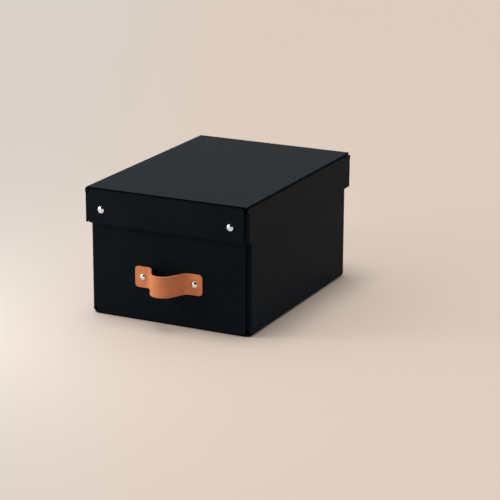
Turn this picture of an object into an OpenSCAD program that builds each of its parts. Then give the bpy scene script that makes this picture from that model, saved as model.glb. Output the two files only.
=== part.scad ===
// Archival box: a flat-pack creased board box with a lift-off lid, press studs and a leather strap handle.
// X is the width, Y the depth with the handle at -Y, Z up from the underside of the box.

/* [Lid] */
// Outer width of the lid
lid_w = 250; // [200:1:340]
// Outer depth of the lid, front wall to back wall
lid_d = 344.2; // [280:0.1:460]
// Height of the lid's rim
lid_rim = 50; // [40:1:70]
// Distance that the front and back walls stop short of the lid's sides
lid_wall_inset = 7.7; // [4:0.1:12]

/* [Base] */
// Height from the floor to the top of the lid
total_h = 184.5; // [120:0.1:300]
// Gap between a lid side wall and the base wall beside it
side_clear = 0.4; // [0.3:0.1:1.5]
// Gap between a lid end wall's outer face and the base's end wall, which leaves room for the studs
end_overhang = 12.2; // [12:0.1:20]
// Distance that the front and back walls stop short of the base's sides
base_wall_inset = 8.2; // [4:0.1:12]

/* [Board] */
// Thickness of the covered board
board = 2.2; // [1.6:0.1:3]
// Depth of the groove along each crease, measured from the outer faces
crease = 2.6; // [2.5:0.1:4]
// Radius of the paper cord that fills the crease
crease_cord_r = 0.3; // [0.2:0.05:0.4]
// Distance from an end wall's outer face to the flap behind it
flap_set = 3.85; // [2.6:0.05:4.5]
// Length of a corner flap
flap_len = 48; // [40:1:60]

/* [Press studs] */
// Diameter of a stud's cap
cap_d = 10; // [8:0.5:14]
// Height of a stud's cap
cap_h = 2.6; // [2:0.1:4]
// Distance of the lid's studs from the middle of the wall
stud_x = 98.4; // [80:0.1:105]
// Distance of the lid's studs below the top of the lid
stud_drop = 29.9; // [20:0.1:40]

/* [Handle] */
// Width of the leather strap
strap_w = 30; // [20:1:40]
// Thickness of the leather
strap_t = 2.5; // [2:0.1:4]
// Distance between the two handle rivets
rivet_pitch = 79.2; // [78:0.1:120]
// Height of the handle rivets above the floor
handle_z = 64; // [40:0.1:120]
// Length of strap past each rivet
strap_tail = 12; // [8:0.5:20]
// Rise of the strap's arch, measured on its middle line
arch_rise = 32.3; // [24:0.1:40]
// Radius of the strap's corners
strap_corner = 5; // [2:0.5:10]

/* [Hidden] */
$fn = 48;
// small overlap that joins two shapes of one solid
eps = 0.01;
// how far a cutting shape reaches past what it cuts
over = 1;

// walls and folds
seat_gap = 0.2;
base_w = lid_w - 2 * board - 2 * side_clear;
base_d = lid_d - 2 * end_overhang;
base_h = total_h - board - seat_gap;
rim_z = total_h - lid_rim;
flap_gap = flap_set - board;
lid_flap_top_cut = 9.5;
lid_flap_bottom_cut = 0.6;
base_flap_bottom_cut = 10;
base_flap_fold_cut = 7;
base_flap_top_cut = 1;
flap_slant = 6;
lid_flap_slant = 3;
lid_side_low_cut = 0.5;
lid_side_high_cut = 2.5;
base_side_low_cut = 4.5;
base_side_high_cut = 0.5;
wall_corner_r = 2;
floor_chamfer_x = 7.7;
floor_chamfer_y = 5.1;

// press stud: z runs outwards from the wall's outer face
cap_seat_h = 1.05;
post_head_r = 2.5;
post_head_h = 1.0;
post_r = 1.3;
post_flare_r = 1.8;
post_flare_h = 0.15;
socket_r = 4.2;
socket_roof = 0.2;
socket_sink = 1.15;
socket_proud = 0.2;
socket_bore_r = 2.15;
ball_r = 1.9;
ball_top = 0.6;
ball_taper = 0.2;
ball_wall = 0.25;
flange_r = 3.6;
flange_h = 0.25;
set_rivet_r = 1.05;
set_head_r = 3.6;
set_head_h = 0.8;
set_head_taper = 0.6;
fit = 0.05;
base_stud_x = stud_x - board - side_clear;
base_stud_z = total_h - stud_drop - 1;

// handle: the arch is a crown arc, two straight flanks and two fillets
crown_r = 17.5;
fillet_r = 11;
flank_angle = 63;
handle_cap_h = 3;
rivet_shank_r = 1.5;
washer_r = 4.5;
washer_h = 0.8;
peen_r = 2.4;
peen_h = 0.5;
strap_mid = strap_t / 2;
crown_y = strap_mid + arch_rise - crown_r;
flank_x1 = crown_r * sin(flank_angle);
flank_y1 = crown_y + crown_r * cos(flank_angle);
flank_y2 = strap_mid + fillet_r * (1 - cos(flank_angle));
flank_x2 = flank_x1 + (flank_y1 - flank_y2) / tan(flank_angle);
fillet_x = flank_x2 + fillet_r * sin(flank_angle);
strap_end = rivet_pitch / 2 + strap_tail;
arc_steps = 12;

// colours
board_colour = [0.10, 0.11, 0.12];
crease_colour = [0.04, 0.045, 0.05];
metal_colour = [0.85, 0.85, 0.86];
leather_colour = [0.68, 0.40, 0.26];

// ---- shared shapes ----

// Flat outline with its lower corners rounded to lower_r and its upper corners to upper_r
module plate_outline(x1, y0, y1, lower_r, upper_r) {
    translate([-x1, y0 + lower_r]) square([2 * x1, y1 - y0 - lower_r - upper_r]);
    for (s = [-1, 1]) {
        translate([s * (x1 - lower_r), y0 + lower_r]) circle(r = lower_r);
        translate([s * (x1 - upper_r), y1 - upper_r]) circle(r = upper_r);
    }
    translate([-x1 + lower_r, y0]) square([2 * (x1 - lower_r), lower_r]);
    translate([-x1 + upper_r, y1 - upper_r]) square([2 * (x1 - upper_r), upper_r]);
}

// Turns a shape drawn with z outwards so that it faces the front (-1) or the back (1)
module facing(side) {
    rotate([-90 * side, 0, 0]) children();
}

// Puts a fastener at x and z on an end wall whose outer face is at distance y
module on_wall(side, x, y, z) {
    translate([x, side * y, z]) facing(side) children();
}

// Repeats a fastener on both halves of one end wall
module pair(side, x, y, z) {
    for (s = [-1, 1]) on_wall(side, s * x, y, z) children();
}

// End wall with two stud holes, each with a sunk seat for the socket on its inner face
module end_wall(side, y, half_w, z0, z1, hole_x, hole_z) {
    difference() {
        translate([0, side * y, 0]) mirror([0, side > 0 ? 1 : 0, 0])
            translate([0, board, 0]) rotate([90, 0, 0]) linear_extrude(board)
                plate_outline(half_w, z0, z1, wall_corner_r, wall_corner_r);
        pair(side, hole_x, y, hole_z) {
            translate([0, 0, -board - over]) cylinder(r = post_r + fit, h = board + 2 * over);
            translate([0, 0, -board - over]) cylinder(r = socket_r + fit, h = over + socket_sink + fit);
        }
    }
}

// Side wall with its four corners cut off
module side_wall(hand, outer, half_d, z0, z1, low_cut, high_cut) {
    color(board_colour) translate([hand > 0 ? outer - board : -outer, 0, 0])
        rotate([90, 0, 90]) linear_extrude(board)
            polygon([[low_cut - half_d, z0], [half_d - low_cut, z0], [half_d, z0 + low_cut],
                [half_d, z1 - high_cut], [half_d - high_cut, z1], [high_cut - half_d, z1],
                [-half_d, z1 - high_cut], [-half_d, z0 + low_cut]]);
}

// Corner flap behind an end wall, from the side wall inwards, drawn as an outline in x and z
module corner_flap(side, hand, y, points, hole_x, hole_z) {
    difference() {
        translate([0, side * (y - flap_set), 0]) mirror([0, side > 0 ? 1 : 0, 0])
            translate([0, board, 0]) rotate([90, 0, 0]) linear_extrude(board)
                mirror([hand < 0 ? 1 : 0, 0]) polygon(points);
        on_wall(side, hand * hole_x, y, hole_z)
            translate([0, 0, -flap_set - board - over])
                cylinder(r = set_rivet_r + fit, h = board + 2 * over);
    }
}

module lid_flap(side, hand) {
    outer = lid_w / 2 - board;
    inner = lid_w / 2 - flap_len;
    low = rim_z + lid_flap_bottom_cut;
    high = total_h - lid_flap_top_cut;
    color(board_colour)
        corner_flap(side, hand, lid_d / 2,
            [[outer, low], [outer, high], [inner, high - lid_flap_slant], [inner, low + lid_flap_slant]],
            stud_x, total_h - stud_drop);
}

module base_flap(side, hand) {
    outer = base_w / 2 - board;
    inner = base_w / 2 - flap_len;
    low = base_flap_bottom_cut;
    high = base_h - base_flap_top_cut;
    color(board_colour)
        corner_flap(side, hand, base_d / 2,
            [[outer, base_flap_fold_cut], [outer, high], [inner, high - flap_slant],
                [inner, low + flap_slant], [outer - flap_slant, low]],
            base_stud_x, base_stud_z);
}

// Paper cord along a fold, centred on the origin, running along x or along y
module crease_cord(length, along_x) {
    color(crease_colour) rotate(along_x ? [0, 90, 0] : [90, 0, 0])
        cylinder(r = crease_cord_r, h = length, center = true);
}

// ---- press stud pieces ----

// Domed cap with a seat for the post's head
module stud_cap(height) {
    dome_r = (pow(cap_d / 2, 2) + pow(height, 2)) / (2 * height);
    color(metal_colour) difference() {
        intersection() {
            translate([0, 0, height - dome_r]) sphere(r = dome_r, $fn = 96);
            cylinder(r = cap_d / 2, h = height + over);
        }
        translate([0, 0, -over]) cylinder(r = post_head_r + fit, h = over + cap_seat_h);
    }
}

// Post from the cap, through the wall, to the roof of the socket
module cap_post() {
    roof = -board + socket_sink - socket_roof;
    color(metal_colour) {
        cylinder(r = post_head_r, h = post_head_h);
        translate([0, 0, roof - post_flare_h]) cylinder(r = post_r, h = post_flare_h - roof + eps);
        translate([0, 0, roof - post_flare_h]) cylinder(r = post_flare_r, h = post_flare_h);
    }
}

// Socket that takes the ball of the stud
module socket() {
    low = -board - socket_proud;
    high = -board + socket_sink;
    color(metal_colour) difference() {
        translate([0, 0, low]) cylinder(r = socket_r, h = high - low);
        translate([0, 0, low - over]) cylinder(r = socket_bore_r, h = high - socket_roof - low + over);
        translate([0, 0, low]) cylinder(r = post_r + fit, h = high - low + over);
    }
}

// Ball stud on the flap's outer face
module ball_stud() {
    face = -flap_set;
    color(metal_colour) difference() {
        translate([0, 0, face]) union() {
            cylinder(r = flange_r, h = flange_h);
            cylinder(r = ball_r, h = flap_gap + ball_top - ball_taper);
            cylinder(r1 = ball_r, r2 = ball_r - ball_taper, h = flap_gap + ball_top);
        }
        translate([0, 0, face - over])
            cylinder(r = set_rivet_r + fit, h = over + flap_gap + ball_top - ball_wall);
    }
}

// Rivet that sets the ball stud, with its head on the flap's inner face
module set_rivet() {
    inner = -flap_set - board;
    color(metal_colour) {
        translate([0, 0, inner - set_head_h])
            cylinder(r1 = set_head_r - set_head_taper, r2 = set_head_r, h = set_head_h);
        translate([0, 0, inner - eps])
            cylinder(r = set_rivet_r, h = board + flap_gap + ball_top - ball_wall - fit);
    }
}

// ---- base ----

module base_bottom_panel() {
    x = base_w / 2 - crease;
    y = base_d / 2 - crease;
    cx = base_w / 2 - floor_chamfer_x;
    cy = base_d / 2 - floor_chamfer_y;
    color(board_colour) linear_extrude(board)
        polygon([[-cx, -y], [cx, -y], [x, -cy], [x, cy], [cx, y], [-cx, y], [-x, cy], [-x, -cy]]);
}

module base_side_wall(hand) {
    side_wall(hand, base_w / 2, base_d / 2 - flap_set, crease, base_h, base_side_low_cut, base_side_high_cut);
}

module base_end_wall(side) {
    end_wall(side, base_d / 2, base_w / 2 - base_wall_inset, crease, base_h, base_stud_x, base_stud_z);
}

module base_front_wall() {
    color(board_colour) difference() {
        base_end_wall(-1);
        pair(-1, rivet_pitch / 2, base_d / 2, handle_z)
            translate([0, 0, -board - over]) cylinder(r = rivet_shank_r + fit, h = board + 2 * over);
    }
}

module base_back_wall() {
    color(board_colour) base_end_wall(1);
}

// Two like pieces on the front wall of the base and two on its back wall
module base_fasteners() {
    for (side = [-1, 1]) pair(side, base_stud_x, base_d / 2, base_stud_z) children();
}

module base_end_crease(side) {
    translate([0, side * (base_d / 2 - board), board])
        crease_cord(base_w - 2 * floor_chamfer_x, true);
}

module base_side_crease(hand) {
    translate([hand * (base_w / 2 - board), 0, board])
        crease_cord(base_d - 2 * floor_chamfer_y, false);
}

// ---- handle ----

// Points of one face of the strap from the crown to its right end, at distance off from the middle line
function strap_face(off) = concat(
    [for (i = [0 : arc_steps]) let (a = 90 - flank_angle * i / arc_steps)
        [(crown_r + off) * cos(a), crown_y + (crown_r + off) * sin(a)]],
    [for (i = [0 : arc_steps]) let (a = 270 - flank_angle * (1 - i / arc_steps))
        [fillet_x + (fillet_r - off) * cos(a), strap_mid + fillet_r + (fillet_r - off) * sin(a)]],
    [[strap_end, strap_mid + off]]);

// The same points on the left half, without the one on the middle plane
function mirrored(points) = [for (i = [1 : len(points) - 1]) [-points[i][0], points[i][1]]];

function reversed(points) = [for (i = [len(points) - 1 : -1 : 0]) points[i]];

// Side view of the strap: x along the wall, y out of it
module strap_profile() {
    outer = strap_face(strap_t / 2);
    inner = strap_face(-strap_t / 2);
    polygon(concat(outer, reversed(inner), mirrored(inner), reversed(mirrored(outer))));
}

module handle_strap() {
    depth = arch_rise + strap_t + 2 * over;
    color(leather_colour) difference() {
        intersection() {
            translate([0, -base_d / 2, handle_z - strap_w / 2]) mirror([0, 1, 0])
                linear_extrude(strap_w) strap_profile();
            on_wall(-1, 0, base_d / 2 - over, handle_z) linear_extrude(depth)
                plate_outline(strap_end, -strap_w / 2, strap_w / 2, strap_corner, strap_corner);
        }
        pair(-1, rivet_pitch / 2, base_d / 2, handle_z)
            translate([0, 0, -over]) cylinder(r = rivet_shank_r + fit, h = strap_t + 2 * over);
    }
}

module handle_rivet_caps() {
    pair(-1, rivet_pitch / 2, base_d / 2 + strap_t, handle_z) stud_cap(handle_cap_h);
}

module handle_rivet_posts() {
    foot = -board - washer_h;
    color(metal_colour) pair(-1, rivet_pitch / 2, base_d / 2, handle_z) {
        translate([0, 0, foot - peen_h]) cylinder(r = peen_r, h = peen_h);
        translate([0, 0, foot - eps]) cylinder(r = rivet_shank_r, h = strap_t - foot + 2 * eps);
        translate([0, 0, strap_t]) cylinder(r = post_head_r, h = post_head_h);
    }
}

module handle_washers() {
    color(metal_colour) pair(-1, rivet_pitch / 2, base_d / 2, handle_z)
        translate([0, 0, -board - washer_h]) difference() {
            cylinder(r = washer_r, h = washer_h);
            translate([0, 0, -over]) cylinder(r = rivet_shank_r + fit, h = washer_h + 2 * over);
        }
}

// ---- lid ----

module lid_top_panel() {
    x = lid_w / 2 - crease;
    y = lid_d / 2 - crease;
    color(board_colour) translate([-x, -y, total_h - board]) cube([2 * x, 2 * y, board]);
}

module lid_side_wall(hand) {
    side_wall(hand, lid_w / 2, lid_d / 2 - flap_set, rim_z, total_h - crease,
        lid_side_low_cut, lid_side_high_cut);
}

module lid_end_wall(side) {
    color(board_colour)
        end_wall(side, lid_d / 2, lid_w / 2 - lid_wall_inset, rim_z, total_h - crease,
            stud_x, total_h - stud_drop);
}

// Two like pieces on one end of the lid
module lid_fasteners(side) {
    pair(side, stud_x, lid_d / 2, total_h - stud_drop) children();
}

module lid_end_crease(side) {
    translate([0, side * (lid_d / 2 - board), total_h - board])
        crease_cord(lid_w - 2 * lid_wall_inset, true);
}

module lid_side_crease(hand) {
    translate([hand * (lid_w / 2 - board), 0, total_h - board])
        crease_cord(lid_d - 2 * lid_wall_inset, false);
}

// ---- nodes ----

base_bottom_panel();
base_side_wall(-1);  // base_left_wall
base_side_wall(1);  // base_right_wall
base_front_wall();
base_back_wall();
base_flap(-1, -1);  // base_front_left_flap
base_flap(-1, 1);  // base_front_right_flap
base_flap(1, -1);  // base_back_left_flap
base_flap(1, 1);  // base_back_right_flap
base_end_crease(-1);  // base_front_crease
base_end_crease(1);  // base_back_crease
base_side_crease(-1);  // base_left_crease
base_side_crease(1);  // base_right_crease
base_fasteners() stud_cap(cap_h);  // base_stud_caps
base_fasteners() cap_post();  // base_cap_posts
base_fasteners() socket();  // base_sockets
base_fasteners() ball_stud();  // base_studs
base_fasteners() set_rivet();  // base_stud_rivets
handle_strap();
handle_rivet_caps();
handle_rivet_posts();
handle_washers();
lid_top_panel();
lid_side_wall(-1);  // lid_left_wall
lid_side_wall(1);  // lid_right_wall
lid_flap(-1, -1);  // lid_front_left_flap
lid_flap(-1, 1);  // lid_front_right_flap
lid_flap(1, -1);  // lid_back_left_flap
lid_flap(1, 1);  // lid_back_right_flap
lid_end_crease(-1);  // lid_front_crease
lid_end_crease(1);  // lid_back_crease
lid_side_crease(-1);  // lid_left_crease
lid_side_crease(1);  // lid_right_crease
for (side = [-1, 1]) lid_fasteners(side) ball_stud();  // lid_studs
for (side = [-1, 1]) lid_fasteners(side) set_rivet();  // lid_stud_rivets
lid_end_wall(-1);  // lid_front_wall
lid_fasteners(-1) stud_cap(cap_h);  // lid_front_stud_caps
lid_fasteners(-1) cap_post();  // lid_front_cap_posts
lid_fasteners(-1) socket();  // lid_front_sockets
lid_end_wall(1);  // lid_back_wall
lid_fasteners(1) stud_cap(cap_h);  // lid_back_stud_caps
lid_fasteners(1) cap_post();  // lid_back_cap_posts
lid_fasteners(1) socket();  // lid_back_sockets
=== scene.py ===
"""Finishes the archival box: covered boards, paper creases, press studs, leather handle and a plain stage."""

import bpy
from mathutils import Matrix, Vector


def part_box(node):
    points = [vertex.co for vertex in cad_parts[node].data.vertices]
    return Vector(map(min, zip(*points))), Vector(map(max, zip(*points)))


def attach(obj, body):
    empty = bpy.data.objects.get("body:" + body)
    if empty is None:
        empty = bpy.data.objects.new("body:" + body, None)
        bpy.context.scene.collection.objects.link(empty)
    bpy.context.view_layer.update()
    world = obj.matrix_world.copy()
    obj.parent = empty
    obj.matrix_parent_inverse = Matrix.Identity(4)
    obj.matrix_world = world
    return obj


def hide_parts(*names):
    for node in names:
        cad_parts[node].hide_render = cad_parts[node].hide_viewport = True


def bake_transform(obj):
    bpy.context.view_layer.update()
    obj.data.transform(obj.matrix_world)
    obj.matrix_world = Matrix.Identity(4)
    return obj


bl_info = {
    "name": "Archival box finish",
    "version": (1, 0, 0),
    "blender": (4, 5, 0),
    "location": "3D View > Sidebar > Archival box",
    "description": "Covered boards, creases, press studs and a leather strap around the packed archival box",
    "category": "Object",
}

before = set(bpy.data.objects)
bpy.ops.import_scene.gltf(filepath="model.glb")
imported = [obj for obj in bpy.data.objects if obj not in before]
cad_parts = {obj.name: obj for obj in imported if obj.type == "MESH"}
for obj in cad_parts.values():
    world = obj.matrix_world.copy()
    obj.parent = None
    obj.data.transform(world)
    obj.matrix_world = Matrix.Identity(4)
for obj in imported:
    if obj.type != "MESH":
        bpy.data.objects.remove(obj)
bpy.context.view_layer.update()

import math

import bpy
from bpy.props import FloatProperty, FloatVectorProperty, IntProperty, PointerProperty
from mathutils import Euler, Vector

MM = 0.001
LEFT, RIGHT, FRONT, BACK = -1, 1, -1, 1
SIDE_WORD = {LEFT: "left", RIGHT: "right"}
END_WORD = {FRONT: "front", BACK: "back"}
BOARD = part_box("lid_top_panel")[1].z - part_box("lid_top_panel")[0].z


# ---- settings -------------------------------------------------------------------------------------

class BoardSettings(bpy.types.PropertyGroup):
    """Sizes and colours of the covered boards."""
    edge_round: FloatProperty(name="Edge rounding", description="Radius of the covered boards' edges",
        default=0.25 * MM, unit="LENGTH")
    corner_round: FloatProperty(name="Corner rounding", description="Radius of the end walls' corners",
        default=2 * MM, unit="LENGTH")
    fold_round: FloatProperty(name="Fold rounding", description="Radius of the fold beside a flap",
        default=1.5 * MM, unit="LENGTH")
    rib_pitch: FloatProperty(name="Rib pitch", description="Spacing of the embossed ribs on the end walls",
        default=3.1 * MM, unit="LENGTH")
    rib_angle: FloatProperty(name="Rib angle", description="Direction across the ribs on an end wall",
        default=math.radians(-53), subtype="ANGLE")
    cover_colour: FloatVectorProperty(name="Cover colour", description="Colour of the cover paper",
        default=(0.0026, 0.0041, 0.0058), subtype="COLOR", size=3)
    lining_colour: FloatVectorProperty(name="Lining colour", description="Colour of the lining paper",
        default=(0.016, 0.017, 0.018), subtype="COLOR", size=3)
    core_colour: FloatVectorProperty(name="Core colour", description="Colour of the board at its cut edges",
        default=(0.020, 0.021, 0.022), subtype="COLOR", size=3)


class HandleSettings(bpy.types.PropertyGroup):
    """Sizes and colours of the leather strap."""
    corner_round: FloatProperty(name="Corner radius", description="Radius of the strap's corners",
        default=5 * MM, unit="LENGTH")
    edge_round: FloatProperty(name="Edge rounding", description="Radius of the strap's burnished edges",
        default=0.6 * MM, unit="LENGTH")
    groove_inset: FloatProperty(name="Groove inset", description="From the strap's edge to its groove",
        default=1.6 * MM, unit="LENGTH")
    groove_depth: FloatProperty(name="Groove depth", description="Depth of the pressed edge groove",
        default=0.2 * MM, unit="LENGTH")
    thickness: FloatProperty(name="Thickness", description="Thickness of the leather",
        default=2.5 * MM, unit="LENGTH")
    crown_radius: FloatProperty(name="Crown radius", description="Radius of the crown's middle line",
        default=17.5 * MM, unit="LENGTH")
    fillet_radius: FloatProperty(name="Fillet radius", description="Radius where the arch meets the wall",
        default=11 * MM, unit="LENGTH")
    flank_angle: FloatProperty(name="Flank angle", description="Angle of the arch's flanks to the wall",
        default=math.radians(63), subtype="ANGLE")
    leather_colour: FloatVectorProperty(name="Leather colour", description="Colour of the strap's face",
        default=(0.64, 0.225, 0.096), subtype="COLOR", size=3)
    edge_colour: FloatVectorProperty(name="Edge colour", description="Colour of the strap's burnished edges",
        default=(0.60, 0.20, 0.075), subtype="COLOR", size=3)


class MetalSettings(bpy.types.PropertyGroup):
    """Shapes and colours of the press studs and rivets."""
    segments: IntProperty(name="Segments", description="Sides of a turned metal piece", default=40, min=12)
    chrome_colour: FloatVectorProperty(name="Chrome colour", description="Colour of the caps",
        default=(0.86, 0.87, 0.88), subtype="COLOR", size=3)
    steel_colour: FloatVectorProperty(name="Steel colour", description="Colour of the inner stud pieces",
        default=(0.60, 0.60, 0.60), subtype="COLOR", size=3)


class StageSettings(bpy.types.PropertyGroup):
    """Camera, floor and lights."""
    azimuth: FloatProperty(name="Azimuth", description="Camera's turn to the right of straight ahead",
        default=math.radians(25.94), subtype="ANGLE")
    elevation: FloatProperty(name="Elevation", description="Camera's angle above the horizon",
        default=math.radians(16.75), subtype="ANGLE")
    roll: FloatProperty(name="Roll", description="Camera's turn about its own axis",
        default=math.radians(0.22), subtype="ANGLE")
    distance: FloatProperty(name="Distance", description="From the camera to the point it aims at",
        default=2.775, unit="LENGTH")
    aim: FloatVectorProperty(name="Aim", description="Point in the middle of the picture",
        default=(0.03897, 0.01116, 0.06672), subtype="XYZ", size=3)
    lens: FloatProperty(name="Focal length", description="Focal length for a 36 mm sensor, in millimetres",
        default=139.9)
    floor_colour: FloatVectorProperty(name="Floor colour", description="Colour of the pale floor",
        default=(0.565, 0.465, 0.392), subtype="COLOR", size=3)
    # Painted light: the floor's lighter colour to the camera's left, for the backdrop's uneven lighting.
    floor_left_painted_light: FloatVectorProperty(name="Left floor", description="Colour of the floor on the left",
        default=(0.54, 0.485, 0.435), subtype="COLOR", size=3)


# ---- shader arithmetic ----------------------------------------------------------------------------

class Value:
    """A socket that carries a number. Python arithmetic on it adds Math nodes."""

    def __init__(self, finish, socket):
        self.finish = finish
        self.socket = socket

    def math(self, operation, *others):
        inputs = {number: other for number, other in enumerate((self, *others))}
        return self.finish.node("ShaderNodeMath", {"operation": operation}, inputs)

    def __add__(self, other):
        return self.math("ADD", other)

    def __mul__(self, other):
        return self.math("MULTIPLY", other)

    def __sub__(self, other):
        return self.math("SUBTRACT", other)

    def __rsub__(self, other):
        return self.finish.number(other).math("SUBTRACT", self)

    __radd__ = __add__

    def wave(self):
        """A cosine wave from 0 to 1, with one crest for each whole number."""
        return (self * math.tau).math("COSINE") * 0.5 + 0.5

    def between(self, low, high):
        """0 below low, 1 above high, and smooth between them."""
        settings = {"interpolation_type": "SMOOTHSTEP"}
        return self.finish.node("ShaderNodeMapRange", settings,
            {"Value": self, "From Min": low, "From Max": high})


class Finish:
    """A material: one Principled surface and the nodes that feed it."""

    def __init__(self, name, **constants):
        self.material = bpy.data.materials.new(name)
        self.material.use_nodes = True
        self.tree = self.material.node_tree
        self.surface = self.tree.nodes["Principled BSDF"]
        for socket, value in constants.items():
            self.surface.inputs[socket.replace("_", " ").title().replace("Ior", "IOR")].default_value = value

    def node(self, kind, settings=None, inputs=None, output=0):
        """Adds a node: settings first, then the values or links of its sockets."""
        made = self.tree.nodes.new(kind)
        for name, value in (settings or {}).items():
            setattr(made, name, value)
        for name, value in (inputs or {}).items():
            self.feed(made.inputs[name], value)
        return Value(self, made.outputs[output])

    def feed(self, socket, value):
        """Links a Value to a socket, or sets the socket to a plain value."""
        if isinstance(value, Value):
            self.tree.links.new(value.socket, socket)
        else:
            socket.default_value = value

    def number(self, value):
        """A plain number as a Value."""
        made = self.node("ShaderNodeValue")
        made.socket.default_value = value
        return made

    def set(self, name, value):
        self.feed(self.surface.inputs[name], value)

    def place(self):
        """Object coordinates, in metres."""
        return self.node("ShaderNodeTexCoord", output="Object")

    def sheet(self):
        """A covered board's place on the flat sheet, in metres: as a vector, along it and across it."""
        across = self.node("ShaderNodeUVMap", {"uv_map": "sheet"})
        split = self.node("ShaderNodeSeparateXYZ", inputs={"Vector": across})
        return across, split, Value(self, split.socket.node.outputs["Y"])

    def noise(self, place, scale, detail=2.0, roughness=0.5):
        """Noise from 0 to 1 with about scale bumps to the metre."""
        return self.node("ShaderNodeTexNoise", inputs={"Vector": place, "Scale": scale, "Detail": detail,
            "Roughness": roughness})

    def cells(self, place, scale):
        """Distance to the nearest of scattered points."""
        return self.node("ShaderNodeTexVoronoi", {"feature": "F1"}, {"Vector": place, "Scale": scale})

    def blend(self, factor, first, second):
        """Mixes two colours, each a Value or three plain numbers."""
        first, second = (c if isinstance(c, Value) else (*c, 1) for c in (first, second))
        return self.node("ShaderNodeMix", {"data_type": "RGBA", "blend_type": "MIX"},
            {0: factor, 6: first, 7: second}, output=2)

    def shades(self, factor, colour, dark, light):
        """A colour from dark times itself to light times itself."""
        return self.blend(factor, scaled(colour, dark), scaled(colour, light))

    def relief(self, height, depth, strength):
        """Feeds a height from 0 to 1 to the surface's normal, depth metres deep."""
        self.set("Normal", self.node("ShaderNodeBump", inputs={"Height": height, "Distance": depth,
            "Strength": strength}))


class Surroundings(Finish):
    """The world's nodes, with the same shorthand as a material's."""

    def __init__(self, world):
        self.tree = world.node_tree
        self.surface = self.tree.nodes["Background"]


def scaled(colour, factor):
    """The colour made darker or lighter by a factor."""
    return tuple(factor * part for part in colour)


def grating(u, v, angle, pitch):
    """Phase of straight lines at a pitch, counted in lines, across the direction of angle."""
    return u * (math.cos(angle) / pitch) + v * (math.sin(angle) / pitch)


def cover_paper(name, rib_share, cross_share):
    """Black cover paper embossed with diagonal ribs and, in part, a second set across them."""
    board = bpy.context.scene.box_boards
    finish = Finish(name, specular_ior_level=0.04, specular_tint=(0.66, 0.88, 1.0, 1))
    across, u, v = finish.sheet()
    place = finish.place()
    wander = (finish.noise(across, 140, 2) - 0.5) * 0.35
    ribs = (grating(u, v, board.rib_angle, board.rib_pitch) + wander).wave()
    cross = (grating(u, v, -board.rib_angle, board.rib_pitch) + wander).wave()
    threads = (grating(u, v, board.rib_angle + math.pi / 2, board.rib_pitch / 3) + wander).wave()
    weave = ribs * rib_share + cross * cross_share + threads * (1 - rib_share - cross_share)
    fibre = finish.noise(across, 2600, 3, 0.6)
    cloud = finish.noise(place, 16, 3, 0.55)
    height = weave * 0.8 + fibre * 0.2
    tone = weave * 1.1 + (fibre - 0.5) * 0.3 + (cloud - 0.5) * 0.35 - 0.05
    finish.set("Base Color", finish.shades(tone, board.cover_colour, 0.02, 3.2))
    finish.set("Roughness", 0.62 - weave * 0.12 + cloud * 0.08)
    finish.relief(height, 0.34 * MM, 1.0)
    return finish.material


def pressed_paper_painted_shade():
    """Cover paper pressed smooth in a crease, with fine stretch lines along it, painted darker than the cover
    as the shade in the crease.
    """
    board = bpy.context.scene.box_boards
    finish = Finish("pressed_paper_painted_shade", specular_ior_level=0.03)
    place = finish.place()
    fibre = finish.noise(place, 1800, 3, 0.6)
    cloud = finish.noise(place, 60, 2)
    # Painted shade: 0.3 to 0.9 times the cover colour, darker than the cover, for the shade in the creases
    # and on the board edges beside them.
    finish.set("Base Color", finish.shades(fibre * 0.6 + cloud * 0.4, board.cover_colour, 0.3, 0.9))
    finish.set("Roughness", 0.7 + fibre * 0.15)
    finish.relief(fibre, 0.03 * MM, 0.3)
    return finish.material


def lining_paper():
    """Smooth charcoal lining paper with short fibres and a faint mottle."""
    board = bpy.context.scene.box_boards
    finish = Finish("lining_paper", specular_ior_level=0.15)
    place = finish.place()
    fibre = finish.noise(place, 1500, 4, 0.7)
    cloud = finish.noise(place, 22, 3)
    fleck = finish.cells(place, 420).between(0.16, 0.05)
    tone = fibre * 0.5 + cloud * 0.5
    colour = finish.shades(tone, board.lining_colour, 0.6, 1.5)
    finish.set("Base Color", finish.blend(fleck * 0.35, colour, scaled(board.lining_colour, 3)))
    finish.set("Roughness", 0.72 + cloud * 0.12)
    finish.relief(fibre, 0.06 * MM, 0.5)
    return finish.material


def board_core():
    """Cut edge of the board: dark pulp in thin plies."""
    board = bpy.context.scene.box_boards
    finish = Finish("board_core", specular_ior_level=0.12)
    place = finish.place()
    pulp = finish.noise(place, 2400, 4, 0.7)
    ply = finish.noise(place, 700, 1)
    grain = pulp * 0.6 + ply * 0.4
    finish.set("Base Color", finish.shades(grain, board.core_colour, 0.5, 1.6))
    finish.set("Roughness", 0.8 + pulp * 0.1)
    finish.relief(grain, 0.15 * MM, 0.7)
    return finish.material


def tanned_leather():
    """Smooth tanned leather: fine pores, soft clouding and fine crinkles."""
    handle = bpy.context.scene.box_handle
    finish = Finish("tanned_leather", specular_ior_level=0.1)
    place = finish.place()
    pores = finish.cells(place, 1500)
    grain = finish.noise(place, 900, 4, 0.6)
    cloud = finish.noise(place, 55, 3, 0.6)
    crinkle = finish.noise(place, 320, 3, 0.6)
    tone = cloud * 0.45 + grain * 0.4 + crinkle * 0.15
    colour = finish.shades(tone, handle.leather_colour, 0.62, 1.38)
    finish.set("Base Color", finish.blend(pores.between(0.35, 0.1) * 0.35, colour,
        scaled(handle.leather_colour, 0.55)))
    finish.set("Roughness", 0.5 + grain * 0.12 - cloud * 0.06)
    finish.relief(pores.between(0.05, 0.5) * 0.5 + grain * 0.3 + crinkle * 0.3, 0.07 * MM, 0.6)
    return finish.material


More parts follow.
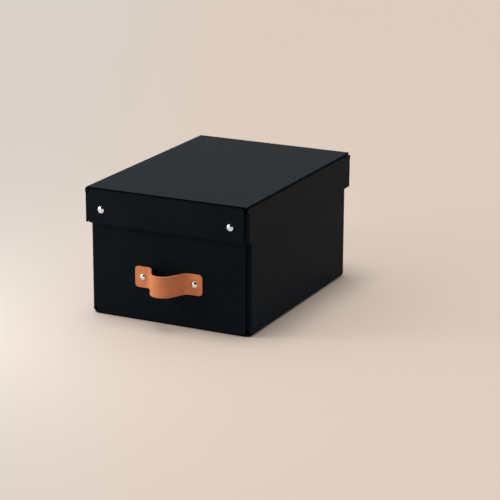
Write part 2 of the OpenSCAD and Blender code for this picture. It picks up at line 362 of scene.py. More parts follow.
def strap_edge():
    """Burnished edge of the strap: lighter, waxed, with faint fibres."""
    handle = bpy.context.scene.box_handle
    finish = Finish("strap_edge", specular_ior_level=0.4)
    place = finish.place()
    fibre = finish.noise(place, 1600, 3, 0.6)
    cloud = finish.noise(place, 130, 2)
    finish.set("Base Color", finish.shades(fibre * 0.5 + cloud * 0.5, handle.edge_colour, 0.65, 1.25))
    finish.set("Roughness", 0.4 + fibre * 0.15)
    finish.relief(fibre, 0.05 * MM, 0.4)
    return finish.material


def strap_flesh():
    """Flesh side of the strap: fuzzy pale suede."""
    handle = bpy.context.scene.box_handle
    finish = Finish("strap_flesh", specular_ior_level=0.1)
    place = finish.place()
    nap = finish.noise(place, 1300, 5, 0.75)
    cloud = finish.noise(place, 90, 3)
    finish.set("Base Color", finish.blend(nap * 0.6 + cloud * 0.4, scaled(handle.leather_colour, 0.7),
        scaled(handle.edge_colour, 1.1)))
    finish.set("Roughness", 0.85 + nap * 0.1)
    finish.relief(nap, 0.15 * MM, 0.8)
    return finish.material


def polished_chrome():
    """Polished chrome with a faint orange peel and hairline handling marks."""
    metal = bpy.context.scene.box_metal
    finish = Finish("polished_chrome", metallic=1.0)
    place = finish.place()
    peel = finish.noise(place, 500, 2)
    marks = finish.noise(place, 2500, 2, 0.7)
    finish.set("Base Color", finish.shades(marks, metal.chrome_colour, 0.95, 1))
    finish.set("Roughness", 0.1 + marks * 0.08)
    finish.relief(peel, 0.02 * MM, 0.3)
    return finish.material


def satin_nickel():
    """Nickel-plated steel with a satin tumbled surface."""
    metal = bpy.context.scene.box_metal
    finish = Finish("satin_nickel", metallic=1.0)
    place = finish.place()
    grain = finish.noise(place, 2200, 3, 0.6)
    cloud = finish.noise(place, 300, 2)
    finish.set("Base Color", finish.shades(cloud, metal.steel_colour, 0.8, 1))
    finish.set("Roughness", 0.28 + grain * 0.18)
    finish.relief(grain, 0.03 * MM, 0.4)
    return finish.material


def floor_paint():
    """Pale matt floor, a little lighter to the left: painted light for the uneven lighting of the backdrop.
    """
    stage = bpy.context.scene.box_stage
    finish = Finish("pale_floor", specular_ior_level=0.0, roughness=1.0)
    place = finish.place()
    aside = (math.cos(stage.azimuth), math.sin(stage.azimuth), 0)
    across = finish.node("ShaderNodeVectorMath", {"operation": "DOT_PRODUCT"}, {0: place, 1: aside},
        output="Value")
    speck = finish.noise(place, 30, 2)
    # Painted light: from the floor colour on the right to the lighter one on the camera's left, with faint
    # specks.
    side = across.between(-0.42, 0.06) * 0.97 + speck * 0.03
    finish.set("Base Color", finish.blend(side, stage.floor_left_painted_light[:], stage.floor_colour[:]))
    return finish.material


# None of these is named like a material slot: the CAD nodes bring flat materials with the slots' names.
MAKERS = {"cover_twill": lambda: cover_paper("cover_twill", 0.7, 0.1),
    "cover_cross": lambda: cover_paper("cover_cross", 0.35, 0.35),
    "pressed_paper_painted_shade": pressed_paper_painted_shade, "lining_paper": lining_paper, "board_core": board_core,
    "tanned_leather": tanned_leather, "strap_edge": strap_edge, "strap_flesh": strap_flesh,
    "polished_chrome": polished_chrome, "satin_nickel": satin_nickel, "pale_floor": floor_paint}


def material(name):
    """The material of that name, made when it is first asked for."""
    return bpy.data.materials.get(name) or MAKERS[name]()


# ---- modelling helpers ----------------------------------------------------------------------------

def deselect_all():
    """Leaves edit mode and clears the selection."""
    if bpy.context.object and bpy.context.object.mode != "OBJECT":
        bpy.ops.object.mode_set(mode="OBJECT")
    bpy.ops.object.select_all(action="DESELECT")


def named(name):
    """Names the new active object, puts its place in its mesh and returns it."""
    piece = bpy.context.object
    piece.name = name
    piece.data.name = name
    bpy.ops.object.transform_apply(location=True, rotation=True, scale=True)
    return piece


def start_box(name, low, high):
    """A box between two opposite corners."""
    deselect_all()
    bpy.ops.mesh.primitive_cube_add(size=1, location=(low + high) / 2, scale=high - low)
    return named(name)


def only(piece):
    """Makes the piece the only selected and active object."""
    deselect_all()
    piece.select_set(True)
    bpy.context.view_layer.objects.active = piece


def select(piece, kind, test):
    """Selects, in edit mode, the vertices, edges or faces whose corner points pass the test."""
    only(piece)
    bpy.ops.object.mode_set(mode="EDIT")
    bpy.ops.mesh.select_mode(type=kind)
    bpy.ops.mesh.select_all(action="DESELECT")
    bpy.ops.object.mode_set(mode="OBJECT")
    mesh = piece.data
    if kind == "VERT":
        for vertex in mesh.vertices:
            vertex.select = test([vertex.co])
    else:
        for part in mesh.edges if kind == "EDGE" else mesh.polygons:
            part.select = test([mesh.vertices[i].co for i in part.vertices])
    bpy.ops.object.mode_set(mode="EDIT")


def same(points, axis, value=None):
    """True if all points share a coordinate, and it is value where one is given."""
    first = points[0][axis] if value is None else value
    return all(abs(p[axis] - first) < 1e-5 for p in points)


def modify(piece, kind, **settings):
    """Adds a modifier, sets it and applies it."""
    only(piece)
    modifier = piece.modifiers.new(kind.lower(), kind)
    for name, value in settings.items():
        setattr(modifier, name, value)
    bpy.ops.object.modifier_apply(modifier=modifier.name)


def cut(piece, cutter):
    """Cuts the cutter's shape out of the piece and removes the cutter."""
    modify(piece, "BOOLEAN", operation="DIFFERENCE", solver="EXACT", object=cutter)
    bpy.data.objects.remove(cutter)


def round_edges(piece, radius, segments=3, angle=60):
    """Rounds the edges whose faces meet at more than angle degrees."""
    modify(piece, "BEVEL", width=radius, segments=segments, limit_method="ANGLE",
        angle_limit=math.radians(angle), use_clamp_overlap=True)


def face_outwards(piece):
    """Turns every face of a closed piece to face outwards."""
    select(piece, "FACE", lambda points: True)
    bpy.ops.mesh.normals_make_consistent(inside=False)
    bpy.ops.object.mode_set(mode="OBJECT")


def smooth(piece, angle=40):
    """Shades the piece smooth, except across edges sharper than angle degrees."""
    only(piece)
    bpy.ops.object.shade_smooth_by_angle(angle=math.radians(angle))
    modify(piece, "WEIGHTED_NORMAL", keep_sharp=True, weight=100)


def sheet_map(piece, turn=0.0, stretch=1.0):
    """Gives each corner its place on the flat sheet, seen along the face's main direction."""
    mesh = piece.data
    layer = mesh.uv_layers.get("sheet") or mesh.uv_layers.new(name="sheet")
    cos_turn, sin_turn = math.cos(turn) / stretch, math.sin(turn) / stretch
    for face in mesh.polygons:
        main = max(range(3), key=lambda axis: abs(face.normal[axis]))
        first, second = [axis for axis in range(3) if axis != main]
        for corner in face.loop_indices:
            point = mesh.vertices[mesh.loops[corner].vertex_index].co
            a, b = point[first], point[second]
            layer.data[corner].uv = (a * cos_turn - b * sin_turn, a * sin_turn + b * cos_turn)


def paint(piece, names, choose=None):
    """Gives the piece its materials, and each face the one that choose names by number."""
    for name in names:
        piece.data.materials.append(material(name))
    if choose:
        for face in piece.data.polygons:
            face.material_index = choose(face)


def finish_piece(piece, body, slot, *nodes):
    """The piece moves with a body and stands for CAD nodes; slot is not used."""
    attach(piece, body)
    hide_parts(*nodes)


def on_end(side, x, y, z):
    """Rotation and place that turn a shape drawn with z outwards to face the front or back."""
    return Euler((-side * math.pi / 2, 0, 0)), Vector((x, y, z))


def start_rod(name, radius, side, x, y, z, start, end):
    """Rod across an end wall, from start to end along its outward direction."""
    deselect_all()
    turn, spot = on_end(side, x, y, z)
    middle = spot + Vector((0, side * (start + end) / 2, 0))
    bpy.ops.mesh.primitive_cylinder_add(vertices=32, radius=radius, depth=end - start, location=middle,
        rotation=turn)
    return named(name)


def sweep(name, points, side_axis, width, origin):
    """Sheet whose section runs through points in the plane across side_axis, width metres wide.

    A plane is laid along the first stretch and its far edge is extruded from point to point.
    """
    along = Vector([1.0 if axis == side_axis else 0.0 for axis in range(3)])
    steps = [origin + point for point in points]
    deselect_all()
    bpy.ops.mesh.primitive_plane_add(size=1)
    piece = named(name)
    corners = [steps[0] - along * width / 2, steps[1] - along * width / 2,
        steps[0] + along * width / 2, steps[1] + along * width / 2]
    for vertex, corner in zip(piece.data.vertices, corners):
        vertex.co = corner
    far = steps[1]
    select(piece, "EDGE", lambda ends: all((p - far).cross(along).length < 1e-7 for p in ends))
    for here, there in zip(steps[1:], steps[2:]):
        bpy.ops.mesh.extrude_region_move(TRANSFORM_OT_translate={"value": there - here})
    bpy.ops.object.mode_set(mode="OBJECT")
    return piece


def arc(centre, radius, start, end, steps):
    """Points (across, out) of an arc, angles in radians."""
    return [(centre[0] + radius * math.cos(start + (end - start) * i / steps),
        centre[1] + radius * math.sin(start + (end - start) * i / steps)) for i in range(steps + 1)]


# ---- covered boards -------------------------------------------------------------------------------

TOP_TURN = math.radians(-63)
TOP_STRETCH = 1.45
BOARD_PAINTS = ("cover_twill", "lining_paper", "board_core", "pressed_paper_painted_shade")
# The last index marks edge faces painted with the darker pressed paper as painted shade beside the creases.
COVERED, LINED, CUT, SHADED_EDGE = 0, 1, 2, 3
FOLD_TILT = 0.3
DRAWN_EDGE = 1.3 * MM
SEAT_RADIUS, SEAT_DEPTH = 4.25 * MM, 1.2 * MM
SET_RIVET_BORE = 1.1 * MM
CAP_POST_BORE = 1.35 * MM
HANDLE_RIVET_BORE = 1.55 * MM
# A station is how far along a flap it lies, where TIP is its end, and what is added to the flap's
# lower and upper edge there.
TIP = 1
FLAP_STATIONS = {"lid": ((TIP, 3 * MM, -3 * MM),),
    "base": ((6 * MM, 3 * MM, -0.8 * MM), (TIP, 9 * MM, -6 * MM))}
# What is cut off a side wall's lower and upper corners.
CORNER_CUTS = {"lid": (0.5 * MM, 2.5 * MM), "base": (4.3 * MM, 0.5 * MM)}


def board_faces(outward, cut_axes, shaded_edge_axes=()):
    """Chooses cover, lining, cut core or the darker pressed paper, painted shade, for a face of a flat board
    from its normal.
    """
    axis = max(range(3), key=lambda a: abs(outward[a]))

    def choose(face):
        if any(abs(face.normal[a]) > FOLD_TILT for a in shaded_edge_axes):
            return SHADED_EDGE
        if face.normal[axis] * outward[axis] > 0.5:
            return COVERED
        if face.normal[axis] * outward[axis] < -0.5:
            return LINED
        main = max(range(3), key=lambda a: abs(face.normal[a]))
        return CUT if main in cut_axes else COVERED
    return choose


class BOX_OT_flat_panels(bpy.types.Operator):
    """Make the lid's top panel and the base's bottom panel"""
    bl_idname = "box.flat_panels"
    bl_label = "Top and bottom panels"

    def execute(self, context):
        board = context.scene.box_boards
        up, down = (0, 0, 1), (0, 0, -1)
        for node, body, outward in (("lid_top_panel", "lid", up), ("base_bottom_panel", "base", down)):
            low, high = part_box(node)
            panel = start_box(node.replace("panel", "board"), low, high)
            if body == "base":
                self.chamfer_corners(panel, low, high)
            else:
                self.soften_sides(panel, high)
            round_edges(panel, board.edge_round)
            smooth(panel)
            sheet_map(panel, TOP_TURN, TOP_STRETCH)
            # Painted shade: the lid panel's edges facing front, back and the sides take the darker pressed
            # paper.
            folded = (0, 1) if body == "lid" else ()
            paint(panel, BOARD_PAINTS, board_faces(outward, (), folded))
            finish_piece(panel, body, "covered_board", node)
        return {"FINISHED"}

    @staticmethod
    def soften_sides(panel, high):
        """Rounds the top panel's upper left and right edges, where the paper is drawn over."""
        select(panel, "EDGE", lambda ends: same(ends, 0) and same(ends, 2, high.z))
        bpy.ops.mesh.bevel(offset=DRAWN_EDGE, segments=5, affect="EDGES")
        bpy.ops.object.mode_set(mode="OBJECT")

    @staticmethod
    def chamfer_corners(panel, low, high):
        """Cuts the corners off the bottom panel, longer along x than along y."""
        depth, extra = 2.5 * MM, 2.6 * MM
        select(panel, "EDGE", lambda ends: same(ends, 0) and same(ends, 1))
        bpy.ops.mesh.bevel(offset=depth, segments=1, affect="EDGES")
        for hand in (LEFT, RIGHT):
            edge = high.x if hand > 0 else low.x
            select(panel, "VERT", lambda ends: depth / 2 < hand * (edge - ends[0].x) < 2 * depth)
            bpy.ops.transform.translate(value=(-hand * extra, 0, 0))
        bpy.ops.object.mode_set(mode="OBJECT")


class BOX_OT_side_walls(bpy.types.Operator):
    """Make each side wall with its two corner flaps as one folded board"""
    bl_idname = "box.side_walls"
    bl_label = "Side walls and flaps"

    def execute(self, context):
        for hand in (LEFT, RIGHT):
            for part in ("lid", "base"):
                self.fold(context.scene.box_boards, part, hand)
        return {"FINISHED"}

    def fold(self, board, part, hand):
        """One side wall with its flaps: a sheet is cut, folded and then given its thickness."""
        word = SIDE_WORD[hand]
        low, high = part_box(f"{part}_{word}_wall")
        outer = high.x if hand > 0 else low.x
        flap_low, flap_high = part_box(f"{part}_front_{word}_flap")
        deselect_all()
        bpy.ops.mesh.primitive_plane_add(size=1, rotation=(0, hand * math.pi / 2, 0))
        side = named(f"{part}_{word}_side_board")
        for vertex in side.data.vertices:
            vertex.co = (outer, low.y if vertex.co.y < 0 else high.y, low.z if vertex.co.z < 0 else high.z)
        for height, cut_off in zip((low.z, high.z), CORNER_CUTS[part]):
            select(side, "VERT", lambda ends: abs(ends[0].z - height) < 1e-6)
            bpy.ops.mesh.bevel(offset=cut_off * math.sqrt(0.5), affect="VERTICES")
        for height in (flap_low.z, flap_high.z):
            select(side, "FACE", lambda points: True)
            bpy.ops.mesh.bisect(plane_co=(0, 0, height), plane_no=(0, 0, 1))
        for edge_y in (low.y, high.y):
            self.add_flap(side, outer, hand, edge_y, (flap_low, flap_high), FLAP_STATIONS[part])
        select(side, "EDGE", lambda ends: same(ends, 0, outer) and same(ends, 1)
            and abs(ends[0].y) > abs(low.y) - 1e-5 and flap_low.z - 1e-5 < min(p.z for p in ends)
            and max(p.z for p in ends) < flap_high.z + 1e-5)
        bpy.ops.mesh.bevel(offset=board.fold_round, segments=4, affect="EDGES")
        bpy.ops.object.mode_set(mode="OBJECT")
        paint(side, ("cover_cross", *BOARD_PAINTS[1:]))
        modify(side, "SOLIDIFY", thickness=BOARD, offset=-1, use_even_offset=True, material_offset=LINED,
            material_offset_rim=CUT)
        round_edges(side, board.edge_round, 2)
        for end in (FRONT, BACK):
            self.bore_flap(side, part, hand, end)
        smooth(side)
        sheet_map(side)
        # Painted shade: faces turned up or down, the rounded edges by the creases, take the darker pressed
        # paper.
        for face in side.data.polygons:
            if face.material_index != LINED and abs(face.normal.z) > FOLD_TILT:
                face.material_index = SHADED_EDGE
        nodes = [f"{part}_{word}_wall", *(f"{part}_{END_WORD[end]}_{word}_flap" for end in (FRONT, BACK))]
        finish_piece(side, part, "covered_board", *nodes)

    @staticmethod
    def add_flap(side, outer, hand, edge_y, flap, stations):
        """Extrudes a flap from the middle stretch of the wall's end edge, station by station."""
        low, high = flap
        length = high.x - low.x + BOARD
        select(side, "EDGE", lambda ends: same(ends, 0, outer) and same(ends, 1, edge_y)
            and same([sum(ends, Vector()) / 2], 2, (low.z + high.z) / 2))
        done = 0.0
        for reach, rise, drop in stations:
            x = length if reach == TIP else reach
            bpy.ops.mesh.extrude_region_move(TRANSFORM_OT_translate={"value": (-hand * (x - done), 0, 0)})
            bpy.ops.object.mode_set(mode="OBJECT")
            for vertex in side.data.vertices:
                if vertex.select:
                    below = vertex.co.z < (low.z + high.z) / 2
                    vertex.co.z = low.z + rise if below else high.z + drop
            bpy.ops.object.mode_set(mode="EDIT")
            done = x

    @staticmethod
    def bore_flap(side, part, hand, end):
        """Bores the hole for the rivet that sets the ball stud."""
        for spot in stud_spots(f"{part}_stud_rivets", end):
            if spot.x * hand > 0:
                cut(side, start_rod("rivet_bore", SET_RIVET_BORE, end, *spot, -8 * MM, 1 * MM))


def stud_spots(node, end):
    """Middles of a node's round fasteners on one end wall: x, the outer y and z."""
    points = [v.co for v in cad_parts[node].data.vertices if v.co.y * end > 0]
    spots = []
    for hand in (LEFT, RIGHT):
        near = [p for p in points if p.x * hand > 0]
        xs, ys, zs = zip(*near)
        spots.append(Vector(((min(xs) + max(xs)) / 2, max(ys, key=abs), (min(zs) + max(zs)) / 2)))
    return spots


class BOX_OT_end_walls(bpy.types.Operator):
    """Make the front and back walls of the lid and the base"""
    bl_idname = "box.end_walls"
    bl_label = "Front and back walls"

    def execute(self, context):
        for end in (FRONT, BACK):
            word = END_WORD[end]
            self.wall(context.scene.box_boards, f"lid_{word}_wall", f"lid_{word}", f"lid_{word}_sockets", end)
            self.wall(context.scene.box_boards, f"base_{word}_wall", "base", "base_sockets", end)
        return {"FINISHED"}

    def wall(self, board, node, body, sockets, end):
        """One end wall, with a seat and a bore for each press stud."""
        low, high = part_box(node)
        wall = start_box(node.replace("wall", "board"), low, high)
        select(wall, "EDGE", lambda ends: same(ends, 0) and same(ends, 2))
        bpy.ops.mesh.bevel(offset=board.corner_round, segments=5, affect="EDGES")
        bpy.ops.object.mode_set(mode="OBJECT")
        round_edges(wall, board.edge_round)
        inner = high.y if end == FRONT else low.y
        for spot in stud_spots(sockets, end):
            cut(wall, start_rod("seat", SEAT_RADIUS, end, spot.x, inner, spot.z, -1 * MM, SEAT_DEPTH))
            cut(wall, start_rod("post_bore", CAP_POST_BORE, end, spot.x, inner, spot.z, -1 * MM, 4 * MM))
        if node == "base_front_wall":
            for spot in stud_spots("handle_washers", end):
                cut(wall, start_rod("rivet_bore", HANDLE_RIVET_BORE, end, *spot, -4 * MM, 4 * MM))
        smooth(wall)
        sheet_map(wall)
        # Painted shade: the wall's faces turned up or down take the darker pressed paper.
        paint(wall, BOARD_PAINTS, board_faces((0, end, 0), (0,), (2,)))
        finish_piece(wall, body, "covered_board", node)


class BOX_OT_creases(bpy.types.Operator):
    """Make the paper creases that join the panels"""
    bl_idname = "box.creases"
    bl_label = "Paper creases"

    def execute(self, context):
        for part, up in (("lid", 1), ("base", -1)):
            for end in (FRONT, BACK):
                self.crease(f"{part}_{END_WORD[end]}_crease", part, 0, end, up)
            for hand in (LEFT, RIGHT):
                self.crease(f"{part}_{SIDE_WORD[hand]}_crease", part, 1, hand, up)
        return {"FINISHED"}

    def crease(self, node, part, along, out, up):
        """Concave strip between the edge of a flat panel and the edge of a wall."""
        low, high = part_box(node)
        fold = (low + high) / 2
        groove = (high.z - low.z) / 2 + 0.1 * MM
        curve, arm, ply = 0.7 * MM, 1.5 * MM, 0.3 * MM
        across = 1 - along
        inset = groove - ply / 2
        # The section's points are (outwards from the fold, upwards from the fold), from panel to wall.
        bend = arc((curve - inset, curve - inset), curve, -math.pi, -math.pi / 2, 5)
        section = [self.place(a * out, b * up, across) for a, b in ((-inset, arm), *bend, (arm, -inset))]
        strip = sweep(f"{node}_paper", section, along, high[along] - low[along], Vector(fold))
        modify(strip, "SOLIDIFY", thickness=ply, offset=0, use_even_offset=True)
        face_outwards(strip)
        smooth(strip)
        # The crease strip takes the darker pressed paper: painted shade in the crease, over its real groove.
        paint(strip, ("pressed_paper_painted_shade",))
        moving = {"lid_front_crease": "lid_front", "lid_back_crease": "lid_back"}.get(node)
        if moving:
            start = fold + self.place(-inset * out, curve * up, across)
            stop = fold + self.place(curve * out, -inset * up, across)
            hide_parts(node)
            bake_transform(strip)
        else:
            finish_piece(strip, part, "crease_paper", node)

    @staticmethod
    def place(out, up, across):
        """Step of out along the axis across the fold and up along z."""
        point = Vector((0, 0, up))
        point[across] = out
        return point


# ---- metal pieces ---------------------------------------------------------------------------------

def turned(name, profile):
    """Round solid about z. profile: (radius, height) from the lower pole to the upper one."""
    (_, bottom), *rings, (_, top) = profile
    deselect_all()
    bpy.ops.mesh.primitive_circle_add(vertices=bpy.context.scene.box_metal.segments, radius=rings[0][0],
        location=(0, 0, rings[0][1]))
    piece = named(name)
    select(piece, "EDGE", lambda ends: True)
    for (here, low), (there, high) in zip(rings, rings[1:]):
        bpy.ops.mesh.extrude_region_move(TRANSFORM_OT_translate={"value": (0, 0, high - low)})
        ratio = there / here
        bpy.ops.transform.resize(value=(ratio, ratio, 1), center_override=(0, 0, high))
    for radius, height, pole in ((*rings[0], bottom), (*rings[-1], top)):
        select(piece, "EDGE", lambda ends: same(ends, 2, height)
            and all(abs(math.hypot(p.x, p.y) - radius) < 1e-6 for p in ends))
        bpy.ops.mesh.extrude_region_move(TRANSFORM_OT_translate={"value": (0, 0, pole - height)})
        bpy.ops.mesh.merge(type="CENTER")
    face_outwards(piece)
    return piece


def dome(radius, base, height, steps=7):
    """Profile of a shallow dome from its rim to near its pole."""
    rise = height - base
    sphere = (radius * radius + rise * rise) / (2 * rise)
    sweep_angle = math.asin(radius / sphere)
    return [(sphere * math.sin(sweep_angle * (1 - i / steps)),
        height - sphere + sphere * math.cos(sweep_angle * (1 - i / steps))) for i in range(steps)]


def cap_profile(height):
    """Cap with a rolled rim, a hollow for the post's head and a domed top."""
    rim = 5 * MM
    return [(0, 1.02 * MM), (2.55 * MM, 1.02 * MM), (2.55 * MM, 0.06 * MM), (rim - 0.5 * MM, 0.0),
        (rim - 0.15 * MM, 0.08 * MM), (rim, 0.3 * MM), (rim - 0.02 * MM, 0.5 * MM),
        *dome(rim - 0.12 * MM, 0.62 * MM, height), (0, height)]


def copies_on_walls(name, profile, node, ends, body, slot, finish, outward_y):
    """Places copies of a turned piece on the end walls and joins them into one object."""
    copies = []
    for end in ends:
        for spot in stud_spots(node, end):
            piece = turned(name, profile)
            smooth(piece, 35)
            turn, where = on_end(end, spot.x, outward_y(end), spot.z)
            piece.rotation_euler = turn
            piece.location = where
            only(piece)
            bpy.ops.object.transform_apply(location=True, rotation=True, scale=True)
            copies.append(piece)
    deselect_all()
    for piece in copies:
        piece.select_set(True)
    bpy.context.view_layer.objects.active = copies[0]
    bpy.ops.object.join()
    copies[0].name = name
    paint(copies[0], (finish,))
    finish_piece(copies[0], body, slot, node)


def wall_face(part, depth=0.0):
    """Function of the end that gives the y of a plane depth metres in from the end wall's outer face."""
    def plane(end):
        low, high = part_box(f"{part}_{END_WORD[end]}_wall")
        return (low.y if end == FRONT else high.y) - end * depth
    return plane


class BOX_OT_stud_caps(bpy.types.Operator):
    """Make the domed chrome caps of the press studs and of the handle's rivets"""
    bl_idname = "box.stud_caps"
    bl_label = "Chrome caps"

    def execute(self, context):
        stud_cap, rivet_cap = cap_profile(2.6 * MM), cap_profile(3 * MM)
        chrome = ("cap_chrome", "polished_chrome")
        for end in (FRONT, BACK):
            body = f"lid_{END_WORD[end]}"
            copies_on_walls(f"{body}_caps", stud_cap, f"{body}_stud_caps", (end,), body, *chrome,
                wall_face("lid"))
        copies_on_walls("base_caps", stud_cap, "base_stud_caps", (FRONT, BACK), "base", *chrome,
            wall_face("base"))
        strap_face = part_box("handle_rivet_caps")[1].y
        copies_on_walls("handle_caps", rivet_cap, "handle_rivet_caps", (FRONT,), "base", *chrome,
            lambda end: strap_face)
        return {"FINISHED"}


class BOX_OT_stud_insides(bpy.types.Operator):
    """Make the sockets, ball studs, set rivets, posts and washers"""
    bl_idname = "box.stud_insides"
    bl_label = "Inner stud pieces"

    def execute(self, context):
        # Each profile runs from the piece's inner pole to its outer one, as (radius, height).
        socket = [(0, 0.93 * MM), (2.15 * MM, 0.93 * MM), (2.15 * MM, 0.1 * MM), (2.5 * MM, -0.18 * MM),
            (3.6 * MM, -0.2 * MM), (4.1 * MM, -0.05 * MM), (4.2 * MM, 0.2 * MM), (4.2 * MM, 1.1 * MM),
            (0, 1.15 * MM)]
        ball = [(0, 0.0), (3.4 * MM, 0.0), (3.6 * MM, 0.08 * MM), (3.5 * MM, 0.22 * MM),
            (2.1 * MM, 0.26 * MM), (1.75 * MM, 0.45 * MM), (1.9 * MM, 0.75 * MM), (1.85 * MM, 0.95 * MM),
            (1.5 * MM, 1.12 * MM), (0, 1.14 * MM)]
        rivet = [(0, -0.8 * MM), (1.1 * MM, -0.8 * MM), (2.6 * MM, -0.7 * MM), (3.4 * MM, -0.4 * MM),
            (3.6 * MM, -0.08 * MM), (3.5 * MM, 0.0), (1.05 * MM, 0.0), (1.05 * MM, 3 * MM), (0, 3 * MM)]
        flap_gap = 0.55 * MM
        both = (FRONT, BACK)
        steel = ("stud_steel", "satin_nickel")
        socket_walls = {"lid": [(f"lid_{END_WORD[end]}", (end,)) for end in both], "base": [("base", both)]}
        for part in ("lid", "base"):
            for body, ends in socket_walls[part]:
                copies_on_walls(f"{body}_socket_rings", socket, f"{body}_sockets", ends, body, *steel,
                    wall_face(part, BOARD))
            copies_on_walls(f"{part}_ball_studs", ball, f"{part}_studs", both, part, *steel,
                wall_face(part, BOARD + flap_gap))
            copies_on_walls(f"{part}_set_rivets", rivet, f"{part}_stud_rivets", both, part, *steel,
                wall_face(part, 2 * BOARD + flap_gap))
        washer = [(0, -0.5 * MM), (1.2 * MM, -0.48 * MM), (2.2 * MM, -0.3 * MM), (2.4 * MM, -0.02 * MM),
            (2.45 * MM, 0.04 * MM), (4.2 * MM, 0.04 * MM), (4.45 * MM, 0.15 * MM), (4.5 * MM, 0.4 * MM),
            (4.45 * MM, 0.78 * MM), (0, 0.8 * MM)]
        washer_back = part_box("handle_washers")[1].y
        copies_on_walls("handle_burrs", washer, "handle_washers", (FRONT,), "base", *steel,
            lambda end: washer_back)
        for node in ("base_cap_posts", "lid_front_cap_posts", "lid_back_cap_posts", "handle_rivet_posts"):
            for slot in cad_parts[node].material_slots:
                slot.material = material("satin_nickel")
        return {"FINISHED"}


# ---- handle ---------------------------------------------------------------------------------------

class BOX_OT_handle_strap(bpy.types.Operator):
    """Make the arched leather strap with rounded corners and a pressed edge groove"""
    bl_idname = "box.handle_strap"
    bl_label = "Leather strap"

    def execute(self, context):
        handle = context.scene.box_handle
        low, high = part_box("handle_strap")
        thick, end, wall = handle.thickness, high.x, high.y
        width, height = high.z - low.z, high.y - low.y
        crown, fillet, angle = handle.crown_radius, handle.fillet_radius, handle.flank_angle
        crown_out = height - thick / 2 - crown
        flank_top = (crown * math.sin(angle), crown_out + crown * math.cos(angle))
        flank_foot_out = thick / 2 + fillet * (1 - math.cos(angle))
        flank_foot = flank_top[0] + (flank_top[1] - flank_foot_out) / math.tan(angle)
        fillet_x = flank_foot + fillet * math.sin(angle)
        quarter = math.pi / 2
        crown_steps, fillet_steps, tail_steps = 14, 12, 8
        # The outer face from the crown to the right end: radii grow at the crown, shrink in the fillet.
        half = arc((0, crown_out), crown + thick / 2, quarter, quarter - angle, crown_steps)
        half += arc((fillet_x, thick / 2 + fillet), fillet - thick / 2, 3 * quarter - angle, 3 * quarter,
            fillet_steps)
        half += [(fillet_x + (end - fillet_x) * i / tail_steps, thick) for i in range(1, tail_steps + 1)]
        outline = [(-x, out) for x, out in reversed(half[1:])] + half
        section = [Vector((x, -out, 0)) for x, out in outline]
        strap = sweep("handle_leather", section, 2, width, Vector((0, wall, (low.z + high.z) / 2)))
        self.face_front(strap)
        self.round_corners(strap, end, handle.corner_round)
        self.press_groove(strap, handle)
        paint(strap, ("tanned_leather", "strap_flesh", "strap_edge"))
        modify(strap, "SOLIDIFY", thickness=thick, offset=-1, use_even_offset=True, material_offset=1,
            material_offset_rim=2)
        round_edges(strap, handle.edge_round, 3, 62)
        for spot in stud_spots("handle_washers", FRONT):
            cut(strap, start_rod("rivet_bore", HANDLE_RIVET_BORE, FRONT, *spot, -2 * MM, 9 * MM))
        smooth(strap, 45)
        finish_piece(strap, "base", "strap_leather", "handle_strap")
        return {"FINISHED"}

    @staticmethod
    def face_front(strap):
        """Turns the faces so that the tails face the front."""
        if strap.data.polygons[0].normal.y > 0:
            select(strap, "FACE", lambda points: True)
            bpy.ops.mesh.flip_normals()
            bpy.ops.object.mode_set(mode="OBJECT")

    @staticmethod
    def round_corners(strap, end, radius):
        """Rounds the four corners after clearing the cross edges near them."""
        clear = end - radius - 3 * MM
        select(strap, "EDGE", lambda ends: same(ends, 0) and clear < abs(ends[0].x) < end - 1e-5)
        bpy.ops.mesh.dissolve_edges()
        select(strap, "VERT", lambda ends: abs(abs(ends[0].x) - end) < 1e-5)
        bpy.ops.mesh.bevel(offset=radius, segments=7, affect="VERTICES")
        bpy.ops.object.mode_set(mode="OBJECT")

    @staticmethod
    def press_groove(strap, handle):
        """Presses a line round the strap, just inside its edge."""
        select(strap, "FACE", lambda points: True)
        groove_side = 0.35 * MM
        for width, depth in ((handle.groove_inset, 0), (groove_side, -handle.groove_depth),
                (groove_side, handle.groove_depth)):
            bpy.ops.mesh.inset(thickness=width, depth=depth, use_boundary=True, use_even_offset=True)
        bpy.ops.object.mode_set(mode="OBJECT")


# ---- stage ----------------------------------------------------------------------------------------

FLOOR_SIZE = 30
OVERHEAD = {"direction": Vector((-0.1, -0.05, 1)), "strength": 2.15, "spread": math.radians(30)}
LEFT_SOFTBOX = {"place": Vector((-0.5, -0.46, 0.36)), "target": Vector((-0.12, -0.17, 0.15)),
    "size": 0.2, "power": 1.9}
SKY_COLOUR, DARK_COLOUR = (0.94, 0.97, 1.0), (0.015, 0.015, 0.017)
# The dark end lies this far right of the camera and above it. It is dark within the first of the two
# angles and has faded out at the second.
DARK_ASIDE, DARK_ABOVE = math.radians(8), math.radians(34)
DARK_WITHIN, DARK_FADED = math.radians(38), math.radians(48)


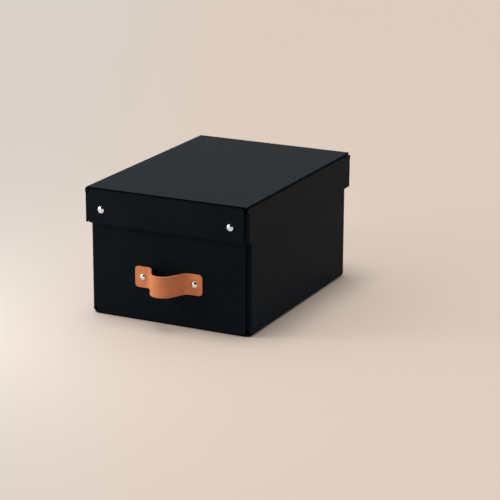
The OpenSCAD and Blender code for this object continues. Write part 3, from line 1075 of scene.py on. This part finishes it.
class BOX_OT_stage(bpy.types.Operator):
    """Make the camera, the pale floor and the soft lights"""
    bl_idname = "box.stage"
    bl_label = "Stage"

    def execute(self, context):
        stage = context.scene.box_stage
        self.camera(context, stage)
        deselect_all()
        bpy.ops.mesh.primitive_grid_add(x_subdivisions=8, y_subdivisions=8, size=FLOOR_SIZE)
        floor = named("floor")
        paint(floor, ("pale_floor",))
        self.overhead()
        self.softbox("left_softbox", **LEFT_SOFTBOX)
        self.world(context, stage)
        return {"FINISHED"}

    @staticmethod
    def camera(context, stage):
        """Long lens aimed at the box from the right of its front, a little above it."""
        az, el = stage.azimuth, stage.elevation
        back = Vector((math.sin(az) * math.cos(el), -math.cos(az) * math.cos(el), math.sin(el)))
        bpy.ops.object.camera_add(location=Vector(stage.aim) + back * stage.distance,
            rotation=(math.pi / 2 - el, 0, az))
        camera = context.object
        camera.name = "camera"
        camera.rotation_euler.rotate_axis("Z", stage.roll)
        camera.data.sensor_width = 36
        camera.data.lens = stage.lens
        camera.data.clip_end = 60
        context.scene.camera = camera

    @staticmethod
    def overhead():
        """Broad even light from above."""
        direction = OVERHEAD["direction"]
        bpy.ops.object.light_add(type="SUN", location=direction)
        lamp = bpy.context.object
        lamp.name = "overhead"
        lamp.data.energy = OVERHEAD["strength"]
        lamp.data.angle = OVERHEAD["spread"]
        lamp.rotation_euler = direction.to_track_quat("Z", "Y").to_euler()

    @staticmethod
    def softbox(name, place, target, size, power):
        """Round soft light that faces a target."""
        bpy.ops.object.light_add(type="AREA", location=place)
        lamp = bpy.context.object
        lamp.name = name
        lamp.data.shape = "DISK"
        lamp.data.size = size
        lamp.data.energy = power
        lamp.rotation_euler = (place - target).to_track_quat("Z", "Y").to_euler()

    @staticmethod
    def world(context, stage):
        """Even white surroundings with the dark end of the studio above the camera."""
        world = context.scene.world or bpy.data.worlds.new("surroundings")
        context.scene.world = world
        world.use_nodes = True
        air = Surroundings(world)
        turn, rise = stage.azimuth + DARK_ASIDE, stage.elevation + DARK_ABOVE
        dark_end = (math.sin(turn) * math.cos(rise), -math.cos(turn) * math.cos(rise), math.sin(rise))
        sight = air.node("ShaderNodeTexCoord", output="Generated")
        toward = air.node("ShaderNodeVectorMath", {"operation": "DOT_PRODUCT"}, {0: sight, 1: dark_end},
            output="Value")
        shade = toward.between(math.cos(DARK_FADED), math.cos(DARK_WITHIN))
        air.set("Color", air.blend(shade, SKY_COLOUR, DARK_COLOUR))
        air.set("Strength", 1.0)
        context.scene.view_settings.view_transform = "Standard"


# ---- add-on ---------------------------------------------------------------------------------------

OPERATORS = (BOX_OT_stage, BOX_OT_flat_panels, BOX_OT_side_walls, BOX_OT_end_walls, BOX_OT_creases,
    BOX_OT_stud_caps, BOX_OT_stud_insides, BOX_OT_handle_strap)
GROUPS = {"box_boards": BoardSettings, "box_handle": HandleSettings, "box_metal": MetalSettings,
    "box_stage": StageSettings}


class BOX_PT_pieces(bpy.types.Panel):
    """Lists the pieces of the box"""
    bl_idname = "BOX_PT_pieces"
    bl_label = "Archival box"
    bl_space_type = "VIEW_3D"
    bl_region_type = "UI"
    bl_category = "Archival box"

    def draw(self, context):
        for operator in OPERATORS:
            self.layout.operator(operator.bl_idname)
        for group, kind in GROUPS.items():
            box = self.layout.box()
            for setting in kind.__annotations__:
                box.prop(getattr(context.scene, group), setting)


def register():
    for kind in (*GROUPS.values(), *OPERATORS, BOX_PT_pieces):
        bpy.utils.register_class(kind)
    for name, kind in GROUPS.items():
        setattr(bpy.types.Scene, name, PointerProperty(type=kind))


def unregister():
    for name in GROUPS:
        delattr(bpy.types.Scene, name)
    for kind in (BOX_PT_pieces, *reversed(OPERATORS), *reversed(list(GROUPS.values()))):
        bpy.utils.unregister_class(kind)


def main():
    register()
    for operator in OPERATORS:
        group, name = operator.bl_idname.split(".")
        getattr(getattr(bpy.ops, group), name)()
    deselect_all()
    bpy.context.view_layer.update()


if __name__ == "__main__":
    main()
